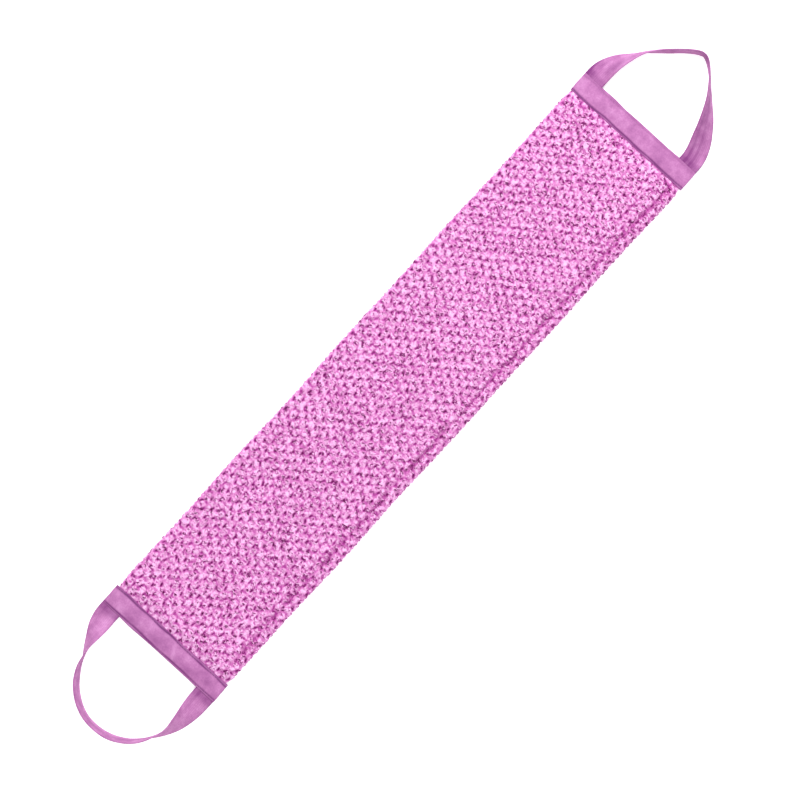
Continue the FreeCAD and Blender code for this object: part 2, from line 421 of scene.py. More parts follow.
class Tufts:
    """Where each tuft sits, how large it is and how it is turned."""

    def __init__(self, total):
        self.total = total
        self.pitch = (SLEEVE_HIGH - SLEEVE_LOW) / TUFTS_ALONG
        self.spacing = total / ROWS_ROUND
        draw = np.random.default_rng(SEED + 1)
        self.size = (TUFTS_ALONG + 2 * TUFT_MARGIN, ROWS_ROUND)
        self.shift_u = draw.normal(0, 0.030, self.size)
        self.shift_v = draw.normal(0, 0.040, self.size)
        self.tall = draw.uniform(0.93, 1.05, self.size)
        self.tilt = draw.normal(0, 0.25, self.size)
        self.wide = draw.uniform(0.88, 1.10, self.size)
        self.open = draw.uniform(0.80, 1.08, self.size)
        self.side_open = draw.uniform(0.0, 0.7, self.size)
        self.middle_open = draw.uniform(0.0, 0.7, self.size)

    def count_to(self, along):
        """How many tufts lie between the sleeve's -X end and a place along it."""
        share = (along - SLEEVE_LOW) / (SLEEVE_HIGH - SLEEVE_LOW)
        return TUFTS_ALONG * (share * (1 - TUFT_CLOSING) + share ** 2 * TUFT_CLOSING)

    def place_of(self, count):
        """The place along the sleeve that this many tufts reach: count_to turned round."""
        k = TUFT_CLOSING
        share = (np.sqrt((1 - k) ** 2 + 4 * k * count / TUFTS_ALONG) - (1 - k)) / (2 * k)
        return SLEEVE_LOW + share * (SLEEVE_HIGH - SLEEVE_LOW)

    def field(self, along, around):
        """Height of the knit at each place, 0 in the open stitches to 1 on the tufts."""
        u = self.count_to(along)
        v = around / self.total * ROWS_ROUND
        best = np.zeros(np.broadcast(u, v).shape)
        pit = np.zeros_like(best)
        row_at = np.floor(v).astype(int)
        for row_step in (-1, 0, 1, 2):
            row = row_at + row_step
            half_step = 0.5 * (row % 2)
            nearest = np.round(u - half_step).astype(int)
            for tuft_step in (-1, 0, 1):
                tuft = nearest + tuft_step
                cell = (np.clip(tuft + TUFT_MARGIN, 0, self.size[0] - 1), row % ROWS_ROUND)
                du = (u - half_step - tuft - self.shift_u[cell]) * self.pitch
                dv = (v - row - self.shift_v[cell]) * self.spacing
                c, s = np.cos(self.tilt[cell]), np.sin(self.tilt[cell])
                p, q = du * c + dv * s, dv * c - du * s
                wide = self.wide[cell]
                d = (p / (TUFT_LENGTH * wide)) ** 2 + (q / (TUFT_WIDTH * wide)) ** 2
                best = np.maximum(best, self.tall[cell] * np.clip(1 - d, 0, 1) ** 0.62)
                dip = np.exp(-(p / PIT_LENGTH) ** 4 - ((q + 0.55 * self.spacing) / PIT_WIDTH) ** 2)
                pit = np.maximum(pit, dip * self.open[cell])
                slit = np.exp(-((p - 0.5 * self.pitch) / (0.8 * MM)) ** 2 - (q / (2.0 * MM)) ** 4)
                pit = np.maximum(pit, slit * self.side_open[cell])
                split = np.exp(-(p / (0.6 * MM)) ** 2 - ((q - 0.5 * MM) / (2.0 * MM)) ** 4)
                pit = np.maximum(pit, split * self.middle_open[cell])
        return (VALLEY + (1 - VALLEY) * best) * (1 - np.clip(pit, 0, 1))


def seam_line(along):
    """The side seam's wandering line across the front."""
    return SEAM_Y + 1.5 * MM * wander(along, 17 * MM, SEED + 2) + 0.7 * MM * wander(along, 6 * MM, SEED + 3)


def seam_dip(along, y, front):
    """How far the side seam pulls the front down, 0 to 1."""
    pull = np.exp(-((y - seam_line(along)) / SEAM_WIDTH) ** 2) * front
    return pull * (0.58 + 0.42 * wander(along, 11 * MM, SEED + 4))


def squeeze(along):
    """1 in the open sleeve, falling to 0 where a header grips it."""
    low_end = ease((along - SLEEVE_LOW + GRIP_START) / TAPER)
    return low_end * ease((SLEEVE_HIGH + GRIP_START - along) / TAPER)


class Sleeve:
    """The sleeve's surface, as grids of X (rows) by distance round it (columns)."""

    def __init__(self):
        self.profile = Profile()
        self.total = self.profile.total
        self.tufts = Tufts(self.total)
        start, stop = SLEEVE_LOW - TUCK, SLEEVE_HIGH + TUCK
        middles = [SLEEVE_LOW + BEND_PITCH * (k + 0.5) for k in range(1, LENGTHS - 1)]
        self.stops = [start] + middles + [stop]
        runs = []
        for a, b in zip(self.stops[:-1], self.stops[1:]):
            runs.append(np.linspace(a, b, int(round((b - a) / GRID)) + 1)[:-1])
        self.along = np.concatenate(runs + [np.array([stop])])
        self.cuts = [0] + list(np.cumsum([len(run) for run in runs]))
        columns = int(round(self.total / GRID))
        self.around = np.arange(columns) * self.total / columns
        x, s = np.meshgrid(self.along, self.around, indexing="ij")
        self.height = self.tufts.field(x, s)
        frizz = rng.normal(0, 1, x.shape) * self.height
        slip = rng.normal(0, FRIZZ, x.shape) * (self.height > 0.3)
        slip[self.cuts] = 0
        self.points = self.place(x + slip, s, TUFT_HEIGHT * self.height + FRIZZ * frizz)

    def place(self, x, s, height):
        """Points at a height over the valley line, given by place along and distance round."""
        y, z, ny, nz = self.profile.at(s)
        front = np.clip(nz, 0, 1)
        open_ = squeeze(x)
        flatter = np.where(nz < 0, BACK_SHARE, 1.0) * nz ** 2 + SIDE_SHARE * ny ** 2
        height = height * flatter * (0.12 + 0.88 * open_)
        low = HEADER["left"][0][1].z + TAPE_GAP
        high = HEADER["left"][1][0].z - TAPE_GAP
        gripped = low + (z - self.profile.bottom) / (self.profile.top - self.profile.bottom) * (high - low)
        sway = 0.7 * MM * wander(x, 70 * MM, SEED + 5) * y / self.profile.flat
        swell = 0.22 * MM * blotches(x, y, 38 * MM, SEED + 6) * front
        dip = seam_dip(x, y, front)
        py = y * (1 - 0.006 * (1 - open_)) + ny * height + sway
        pz = z * open_ + gripped * (1 - open_) + nz * height * (1 - 0.5 * dip)
        pz = pz + (swell - SEAM_DEPTH * dip) * open_
        return np.stack([x, py, np.maximum(pz, KNIT_FLOOR)], -1)


def stands_for(kind, number):
    """The CAD nodes that one run takes the place of. The last run covers the last two lengths."""
    numbers = (number, LENGTHS) if number == LENGTHS - 1 else (number,)
    return ["%s_%d" % (kind, each) for each in numbers]


def knit_pieces(sleeve, material):
    """The knit itself, one piece for each run."""
    pieces = []
    for number in range(1, LENGTHS):
        first, last = sleeve.cuts[number - 1], sleeve.cuts[number]
        points = sleeve.points[first:last + 1]
        rows, columns = points.shape[:2]
        y, _, _, nz = sleeve.profile.at(sleeve.around)
        # Painted shade: darker low between the tufts and in the side seam's groove
        dark = seam_dip(sleeve.along[first:last + 1, None], y[None, :], np.clip(nz, 0, 1)[None, :])
        shade = sleeve.height[first:last + 1] * (1 - 0.5 * dark)
        piece = make_mesh(
            "knit_sleeve_run_%d" % number,
            points.reshape(-1, 3),
            grid_faces(rows, columns, True),
            material,
            {"tuft_painted_shade": shade.ravel()},
        )
        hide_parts(*stands_for("knit_sleeve", number))
        pieces.append(piece)
    return pieces


def tube_points(lines, radii, sides, upright):
    """Rings of points round many lines of the same number of steps, and the rings' angles."""
    direction = np.gradient(lines, axis=1)
    direction /= np.maximum(np.linalg.norm(direction, axis=2, keepdims=True), 1e-12)
    side_a = np.cross(direction, np.array(upright))
    side_a /= np.maximum(np.linalg.norm(side_a, axis=2, keepdims=True), 1e-12)
    side_b = np.cross(direction, side_a)
    angles = 2 * math.pi * np.arange(sides) / sides
    ring = (side_a[:, :, None] * np.cos(angles)[None, None, :, None]
            + side_b[:, :, None] * np.sin(angles)[None, None, :, None])
    return lines[:, :, None] + ring * radii[:, :, None, None], angles


def repeat_faces(faces, count, points_each):
    """One tube's faces, repeated for every tube."""
    return (faces[None] + (np.arange(count) * points_each)[:, None, None]).reshape(-1, 4)


def yarn_piece(name, lines, radii, sides, material, attributes):
    """A piece of many short open tubes. Attributes are arrays that spread over lines by steps."""
    count, steps = lines.shape[:2]
    shape = (count, steps, sides)
    points, _ = tube_points(lines, radii, sides, (0.31, 0.27, 0.91))
    faces = repeat_faces(grid_faces(steps, sides, True), count, steps * sides)
    spread = {key: np.broadcast_to(values[:, :, None], shape).ravel() for key, values in attributes.items()}
    piece = make_mesh(name, points.reshape(-1, 3), faces, material, spread)
    spread_on_map(piece, shape)
    return piece


def pile_loops(sleeve, material):
    """The soft yarn loops that make up each tuft, one piece for each run of knit."""
    tufts = sleeve.tufts
    tuft, row = np.meshgrid(np.arange(-1, TUFTS_ALONG + 1), np.arange(ROWS_ROUND), indexing="ij")
    tuft, row = tuft.ravel(), row.ravel()
    cell = (tuft + TUFT_MARGIN, row)
    count_u = tuft + 0.5 * (row % 2) + tufts.shift_u[cell]
    centre_x = tufts.place_of(count_u)
    centre_s = (row + tufts.shift_v[cell]) * tufts.spacing
    shown = (centre_x > SLEEVE_LOW + LOOPS_CLEAR) & (centre_x < SLEEVE_HIGH - LOOPS_CLEAR)
    repeat = LOOPS_PER_TUFT
    x0 = np.repeat(centre_x[shown], repeat)
    s0 = np.repeat(centre_s[shown], repeat)
    tall = np.repeat(tufts.tall[cell][shown], repeat)
    number = np.tile(np.arange(repeat), shown.sum())
    count = len(x0)
    fan = np.array([80, 105, 58, 122, 90, 35, 142, 70, 112])[number % 9]
    heading = np.radians(fan + rng.normal(0, 20, count))
    lobe = np.where(number % 2 == 0, -1, 1)
    x0 = x0 + lobe * 2.4 * MM + rng.normal(0, 0.65 * MM, count)
    s0 = s0 + rng.normal(0.45 * MM, 0.85 * MM, count)
    half = rng.uniform(1.0, 2.1, count) * MM
    rise = TUFT_HEIGHT * tall * rng.uniform(0.55, 1.05, count)
    steps = 6
    turn = np.linspace(-0.12 * math.pi, 1.12 * math.pi, steps)[None, :]
    wobble = rng.normal(0, 0.14 * MM, (count, steps))
    along = -np.cos(turn) * half[:, None]
    side = wobble + rng.normal(0, 0.35, (count, 1)) * np.sin(turn) * MM
    x = x0[:, None] + along * np.cos(heading)[:, None] - side * np.sin(heading)[:, None]
    s = s0[:, None] + along * np.sin(heading)[:, None] + side * np.cos(heading)[:, None]
    lift = 0.55 * MM + np.sin(turn) * rise[:, None]
    lines = sleeve.place(x, s, lift)
    radii = LOOP_RADIUS * rng.uniform(0.75, 1.2, (count, 1)) * rng.uniform(0.82, 1.18, (count, steps))
    lines[:, :, 2] = np.maximum(lines[:, :, 2], radii)
    # Painted shade: loops darken lower down on the tuft and in the side seam's groove
    level = np.clip((lift - 0.2 * MM) / (TUFT_HEIGHT + 0.4 * MM), 0, 1)
    y, _, _, nz = sleeve.profile.at(s)
    level = level * (1 - 0.42 * seam_dip(x, y, np.clip(nz, 0, 1)))
    tone = rng.uniform(0, 1, count) - DARK_DROP * (rng.uniform(0, 1, count) < DARK_LOOPS)
    pieces = []
    for number in range(1, LENGTHS):
        here = (x0 >= sleeve.stops[number - 1]) & (x0 < sleeve.stops[number])
        levels = {"loop_painted_shade": level[here], "loop_tone": tone[here][:, None]}
        pieces.append(yarn_piece("terry_loops_%d" % number, lines[here], radii[here], 4, material, levels))
    return pieces


def fuzz_pieces(sleeve, material):
    """Curled fibre ends over every tuft, one piece for each run of knit."""
    pieces = []
    for number in range(1, LENGTHS):
        low, high = sleeve.stops[number - 1:number + 1]
        low, high = max(low, SLEEVE_LOW + FIBRES_CLEAR), min(high, SLEEVE_HIGH - FIBRES_CLEAR)
        count = int(TUFTS_ALONG * ROWS_ROUND / (LENGTHS - 1) * FUZZ_PER_TUFT)
        x = rng.uniform(low, high, count * 2)
        s = rng.uniform(0, sleeve.total, count * 2)
        height = sleeve.tufts.field(x, s)
        keep = np.flatnonzero(rng.uniform(0, 1, count * 2) < 0.15 + 0.85 * height)[:count]
        x, s, height = x[keep], s[keep], height[keep]
        count = len(x)
        heading = rng.uniform(0, 2 * math.pi, count)
        long = rng.uniform(0.9, 2.3, count) * MM
        curl = rng.uniform(-1.2, 1.2, count)
        forward = np.array([0.0, 0.30, 0.62, 0.80])[None, :] * long[:, None]
        aside = np.array([0.0, 0.0, 0.22, 0.55])[None, :] * (long * curl)[:, None]
        lift = np.array([-0.25, 0.45, 0.65, 0.45])[None, :] * long[:, None] * 0.62
        c, d = np.cos(heading)[:, None], np.sin(heading)[:, None]
        base = (TUFT_HEIGHT * height + 0.35 * MM)[:, None]
        lines = sleeve.place(x[:, None] + forward * c - aside * d, s[:, None] + forward * d + aside * c,
                             base + lift)
        radii = np.broadcast_to(np.array([0.14, 0.13, 0.11, 0.04]) * MM, (count, 4))
        lines[:, :, 2] = np.maximum(lines[:, :, 2], radii)
        # Painted shade: fibres rooted low between the tufts are darker
        tone = rng.uniform(0, 1, count) * (0.5 + 0.5 * height)
        levels = {"fibre_along": np.linspace(0, 1, 4)[None, :], "fibre_tone": tone[:, None]}
        pieces.append(yarn_piece("terry_fibres_%d" % number, lines, radii, 3, material, levels))
    return pieces


def spread_on_map(piece, shape):
    """A map on which each short tube has a square of its own: along it in U and round it in V."""
    count, steps, sides = shape
    layer = piece.data.uv_layers.new(name="OFBake")
    cells = math.ceil(math.sqrt(count))
    corner = np.empty(len(piece.data.loops), np.int32)
    piece.data.loops.foreach_get("vertex_index", corner)
    tube = corner // (steps * sides)
    within = corner % (steps * sides)
    u = (tube % cells + 0.10 + 0.80 * (within // sides) / (steps - 1)) / cells
    v = (tube // cells + 0.10 + 0.80 * (within % sides) / (sides - 1)) / cells
    layer.data.foreach_set("uv", np.stack([u, v], -1).astype(np.float32).ravel())


def bend_pieces(knit, *others):
    """Each run of sleeve, with everything on it, has its placing baked into its points."""
    for number, group in enumerate(zip(knit, *others), 1):
        for piece in group:
            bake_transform(piece)


# ---------------------------------------------------------------- thread

def stitch_tubes(lines, radius):
    """Points, faces and ply attributes of many short round threads, with closed tips."""
    count, steps = lines.shape[:2]
    sides = 6
    share = np.linspace(0, 1, steps)
    girth = radius * np.clip(np.sqrt(1 - (2 * share - 1) ** 6), 0.12, 1)
    points, angles = tube_points(lines, np.broadcast_to(girth, (count, steps)), sides, (0.02, 0.03, 1.0))
    caps = []
    for end in (0, steps - 1):
        order = [end * sides + k for k in (range(sides) if end else range(sides - 1, -1, -1))]
        for k in range(1, sides - 1, 2):
            caps.append([order[0], order[k], order[k + 1], order[k + 2]])
    one = np.concatenate([grid_faces(steps, sides, True), np.array(caps)])
    faces = repeat_faces(one, count, steps * sides)
    long = np.cumsum(np.linalg.norm(np.diff(lines, axis=1, prepend=lines[:, :1]), axis=2), 1)
    along = np.broadcast_to(long[:, :, None], points.shape[:3])
    around = np.broadcast_to(angles[None, None, :], points.shape[:3])
    return points.reshape(-1, 3), faces, {"ply_along": along.ravel(), "ply_round": around.ravel()}


def seam_threads(sleeve, material):
    """The side seam's stitches, sunk in the groove, one piece for each run of knit."""
    pieces = []
    pitch, long, radius = 3.6 * MM, 3.0 * MM, 0.38 * MM
    for number in range(1, LENGTHS):
        x_low = max(sleeve.stops[number - 1], SLEEVE_LOW + TAPER * 0.7)
        x_high = min(sleeve.stops[number], SLEEVE_HIGH - TAPER * 0.7)
        count = int((x_high - x_low) / pitch)
        middle = x_low + (np.arange(count) + 0.5) * (x_high - x_low) / count
        share = np.linspace(-0.5, 0.5, 7)
        x = middle[:, None] + share[None, :] * long
        y = seam_line(x) + share[None, :] * 0.9 * MM
        s = y + sleeve.profile.flat + sleeve.profile.arc / 2
        sunk = 0.55 * TUFT_HEIGHT - (2 * share[None, :]) ** 4 * 0.8 * MM
        points, faces, plies = stitch_tubes(sleeve.place(x, s, sunk + 0 * x), radius)
        piece = make_mesh("side_seam_stitches_%d" % number, points, faces, material, plies)
        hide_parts(*stands_for("side_seam_thread", number))
        pieces.append(piece)
    return pieces


# ---------------------------------------------------------------- header tapes

class Header:
    """The shape that both tapes at one end share, so that their stitches follow it."""

    def __init__(self, side):
        self.side = side
        self.sign = SIGN[side]
        self.back, self.front = HEADER[side]
        self.seed = SEED + (20 if side == "left" else 40)
        self.low = {"front": self.front[0].z, "back": self.back[0].z}
        self.rows = {}
        for place in ("outer", "inner"):
            low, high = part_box("%s_%s_needle_stitches" % (side, place))
            self.rows[place] = (low.x + high.x) / 2
        self.tightness = {"outer": 0.25 if side == "right" else 1.0, "inner": 1.0}

    def row(self, place, y):
        """Where a stitch row runs: nearly straight."""
        seed = self.seed + (8 if place == "outer" else 9)
        return self.rows[place] + 0.55 * MM * wander(y, 13 * MM, seed)

    def pucker(self, x, y):
        """Rise of the front between the two stitch rows, with soft creases, in metres."""
        outer, inner = self.rows["outer"], self.rows["inner"]
        share = (x - outer) / (inner - outer)
        belly = np.sin(np.pi * np.clip(share, 0, 1)) ** 0.8
        waves = 0.5 + 0.5 * wander(y, 19 * MM, self.seed) + 0.25 * wander(y + x * 0.8, 7 * MM, self.seed + 1)
        return 1.15 * MM * belly * (0.35 + 0.8 * waves + 0.9 * self.kink(x, y, 3.0 * MM))

    def kink(self, x, y, wide):
        """The slanting ridge across the left tape, 0 to 1."""
        if self.side == "right":
            return 0 * x
        ridge = y - KINK_AT - KINK_SLANT * (x - self.rows["outer"])
        return np.exp(-(ridge / wide) ** 2)

    def pull(self, x, y):
        """Dip along each stitch row, deepest at each needle hole."""
        dip = 0
        for place in ("outer", "inner"):
            near = np.exp(-((x - self.row(place, y)) / (0.85 * MM)) ** 2)
            holes = 0.65 + 0.35 * np.cos(2 * np.pi * (y / STITCH_PITCH + 0.5))
            dip = dip + near * holes * (0.5 + 0.5 * self.tightness[place])
        return 0.50 * MM * dip

    def shadow(self, x, y):
        """Painted shade on the tape, 0 to 1: in the furrow along each stitch row, in patches, and along both
        long edges.
        """
        dark = 0
        for place, seed in (("outer", 11), ("inner", 12)):
            near = np.exp(-((x - self.row(place, y)) / (0.95 * MM)) ** 2)
            dark = dark + near * (0.70 + 0.35 * wander(y, 12 * MM, self.seed + seed)) * self.tightness[place]
        middle = (self.rows["outer"] + self.rows["inner"]) / 2
        outward = (x - middle) * self.sign
        for along, out, length, width, depth in SHADE_PATCHES[self.side]:
            patch_distance = ((y - along * MM) / (length * MM)) ** 2 + ((outward - out * MM) / (width * MM)) ** 2
            dark = dark + depth * np.exp(-patch_distance)
        # Painted shade along the edge tucked against the knit, and a lighter one along the outer edge
        tucked = self.front[1].x - x if self.sign < 0 else x - self.front[0].x
        loose = self.front[1].x - self.front[0].x - tucked
        dark = dark + 0.6 * np.exp(-(np.clip(tucked, 0, 1) / (1.0 * MM)) ** 2)
        dark = dark + 0.25 * np.exp(-(np.clip(loose, 0, 1) / (0.8 * MM)) ** 2)
        return np.clip(dark, 0, 0.92)

    def edge_line(self, y, which):
        """How far one long edge wanders from straight."""
        return 0.45 * MM * wander(y, 16 * MM, self.seed + (3 if which == "outer" else 5))

    def surface(self, face, x, y, top):
        """Height of one side of one tape."""
        low = self.low[face]
        if face == "front":
            level = low + self.pucker(x, y) - self.pull(x, y)
        else:
            level = low - 0.35 * self.pucker(x, y) + 0.6 * self.pull(x, y)
        return level + (TAPE_THICK if top else 0)


def tape_piece(header, face, material):
    """One header tape: turned-in long edges, softly puckered between its stitch rows."""
    box = header.front if face == "front" else header.back
    rows, columns = 41, 200
    share = np.linspace(-1, 1, rows)
    across = np.linspace(box[0].y, box[1].y, columns)
    y = across[None, :] * np.ones((rows, 1))
    x = (box[0].x + box[1].x) / 2 + share[:, None] * (box[1].x - box[0].x) / 2
    x = x + np.where(share[:, None] * header.sign > 0, header.edge_line(y, "outer"),
                     header.edge_line(y, "inner")) * np.abs(share[:, None]) ** 3
    y = y + 0.35 * MM * wander(x, 9 * MM, header.seed + 7) * (np.abs(y) / box[1].y) ** 8
    edge = 1 - np.abs(share[:, None])
    round_off = 0.42 * TAPE_THICK * (1 - np.sqrt(np.clip(1 - (1 - np.clip(edge * 9, 0, 1)) ** 2, 0, 1)))
    top = header.surface(face, x, y, True) - round_off
    bottom = header.surface(face, x, y, False) + round_off
    upper = np.stack([x, y, top], -1)
    lower = np.stack([x, y, bottom], -1)
    ring = np.concatenate([upper, lower[::-1]], 0)
    points = ring.reshape(-1, 3)
    total_rows = ring.shape[0]
    faces = grid_faces(total_rows, columns, False)
    last = (total_rows - 1) * columns
    column = np.arange(columns - 1)
    seam = np.stack([last + column, column, column + 1, last + column + 1], -1)
    sides = []
    for at in (0, columns - 1):
        for row in range(rows - 1):
            a, b = row * columns + at, (row + 1) * columns + at
            c, d = (total_rows - 2 - row) * columns + at, (total_rows - 1 - row) * columns + at
            sides.append([a, d, c, b] if at == 0 else [a, b, c, d])
    faces = np.concatenate([faces, seam, np.array(sides)])
    # Paler worn long edges, and a painted highlight along the left tape's slanting ridge
    paling = np.clip(np.abs(share) - 0.86, 0, 1)[:, None] / 0.7 + 0.5 * header.kink(x, y, 1.8 * MM)
    both = np.concatenate([paling, paling[::-1]], 0)
    # Painted shade of stitch furrows, patches and edges
    dark = header.shadow(x, y)
    dark = np.concatenate([dark, dark[::-1]], 0)
    name = "%s_header_%s_tape" % (header.side, face)
    piece = make_mesh(name, points, faces, material, {
        "yarn_along": points[:, 1],
        "yarn_across": points[:, 0],
        "wear_and_highlight": both.ravel(),
        "painted_shade": dark.ravel(),
    })
    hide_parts("%s_%s_header_tape" % (header.side, face))
    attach(piece, HEADER_BODY[header.side])
    return piece


def header_stitches(header, place, thread, material):
    """One row of lockstitches on the front or the back of a header."""
    node = "%s_%s_%s_stitches" % (header.side, place, thread)
    low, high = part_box(node)
    count = int((high.y - low.y) / STITCH_PITCH) + 1
    middle = (np.arange(count) - (count - 1) / 2) * STITCH_PITCH
    share = np.linspace(-0.5, 0.5, 7)
    y = middle[:, None] + share[None, :] * STITCH_LONG
    x = header.row(place, y) + share[None, :] * 0.35 * MM
    x = x + rng.normal(0, 0.06 * MM, (count, 1))
    face, top = ("front", True) if thread == "needle" else ("back", False)
    z = header.surface(face, x, y, top)
    out = 1 if top else -1
    z = z + out * (0.16 * MM - (2 * share[None, :]) ** 4 * 0.42 * MM)
    z = np.maximum(z, STITCH_RADIUS)
    points, faces, plies = stitch_tubes(np.stack([x, y, z], -1), STITCH_RADIUS)
    piece = make_mesh(node + "_thread", points, faces, material, plies)
    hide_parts(node)
    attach(piece, HEADER_BODY[header.side])
    return piece


# ---------------------------------------------------------------- hand loops

def spline(poles, count):
    """Points on a clamped cubic B-spline with these control points."""
    poles = np.asarray(poles, float)
    spans = len(poles) - 3
    knots = np.concatenate([[0.0] * 3, np.arange(spans + 1.0), [float(spans)] * 3])
    at = np.linspace(0, spans, count)
    weights = np.zeros((count, len(knots) - 1))
    span = np.clip(np.floor(at).astype(int), 0, spans - 1) + 3
    weights[np.arange(count), span] = 1
    for degree in range(1, 4):
        fresh = np.zeros_like(weights)
        for i in range(len(knots) - 1 - degree):
            left = knots[i + degree] - knots[i]
            right = knots[i + degree + 1] - knots[i + 1]
            if left > 0:
                fresh[:, i] += (at - knots[i]) / left * weights[:, i]
            if right > 0:
                fresh[:, i] += (knots[i + degree + 1] - at) / right * weights[:, i + 1]
        weights = fresh
    return weights[:, :len(poles)] @ poles


def loop_middle(side):
    """The ribbon's middle line seen from above, from its sewn end at +Y to the one at -Y."""
    sign = SIGN[side]
    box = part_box(side + "_hand_loop")
    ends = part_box(side + "_loop_ends")
    start = box[1].x if sign < 0 else box[0].x
    tip = box[0].x if sign < 0 else box[1].x
    lean = LOOP_LEAN[side]
    overhang = math.sin(lean) * RIBBON_WIDTH / 2 + math.cos(lean) * RIBBON_THICK / 2
    half = ends[1].y - RIBBON_WIDTH / 2
    route = np.array(LOOP_ROUTE[side])
    unit = spline(route, 400)
    reach = (abs(tip - start) - overhang) / unit[:, 0].max()
    curve = spline(np.stack([start + sign * reach * route[:, 0], half * route[:, 1]], -1), 500)
    sewn = ends[1].x if sign < 0 else ends[0].x
    lead = np.linspace(sewn, start, 24)[:-1]
    first = np.stack([lead, np.full(len(lead), half)], -1)
    last = np.stack([lead[::-1], np.full(len(lead), -half)], -1)
    line = np.concatenate([first, curve, last])
    run = np.concatenate([[0], np.cumsum(np.linalg.norm(np.diff(line, axis=0), axis=1))])
    even = np.linspace(0, run[-1], 360)
    return np.stack([np.interp(even, run, line[:, k]) for k in (0, 1)], -1), even, start, tip


def ribbon_shadow(side, line, even, out, across):
    """Painted shade on the ribbon, 0 to 1: where it goes in under a header, along its folds and pleats, on
    its edges, and in the right loop's hollow, corner and tip.
    """
    out = np.clip(out, 0, 1)[:, None]
    across = across[None, :]
    upper = line[:, 1:2] > 0
    dark = (0.45 if side == "left" else 0.30) * np.exp(-(out / 0.035) ** 2)
    fold = np.exp(-((across - np.where(upper, 0.45, -0.45)) / 0.13) ** 2)
    fold_shade_wander = 0.5 + 0.5 * wander(even, 12 * MM, SEED + 70)[:, None]
    dark = dark + 0.38 * fold * np.exp(-(out / 0.22) ** 2) * fold_shade_wander
    middle = 0.26 * np.exp(-((across + 0.15) / 0.30) ** 2) * ease((out - 0.35) / 0.3)
    dark = dark + middle + 0.30 * np.exp(-((np.abs(across) - 1) / 0.10) ** 2)
    if side == "right":
        # Painted shade of pleats along the right lower ribbon, lighter towards its outer edge
        pleat_shade = np.clip(np.cos(across * 11 + 0.9 * wander(even, 25 * MM, SEED + 71)[:, None]), 0, 1)
        outer_band = ease((across - 0.35) / 0.2)
        lower = 0.26 * (1 - 0.75 * outer_band) + 0.26 * pleat_shade * (1 - outer_band)
        hollow = 0.50 * np.exp(-((out - 0.24) / 0.17) ** 2 - ((across + 0.40) / 0.42) ** 2)
        corner = 1.1 * np.exp(-(out / 0.13) ** 2 - ((across - 1) / 0.30) ** 2)
        tip = 0.40 * np.exp(-((out - 1) / 0.04) ** 2)
        dark = dark + np.where(upper, hollow + corner, lower * np.exp(-(out / 0.8) ** 2)) + tip
    return np.clip(dark, 0, 0.85)


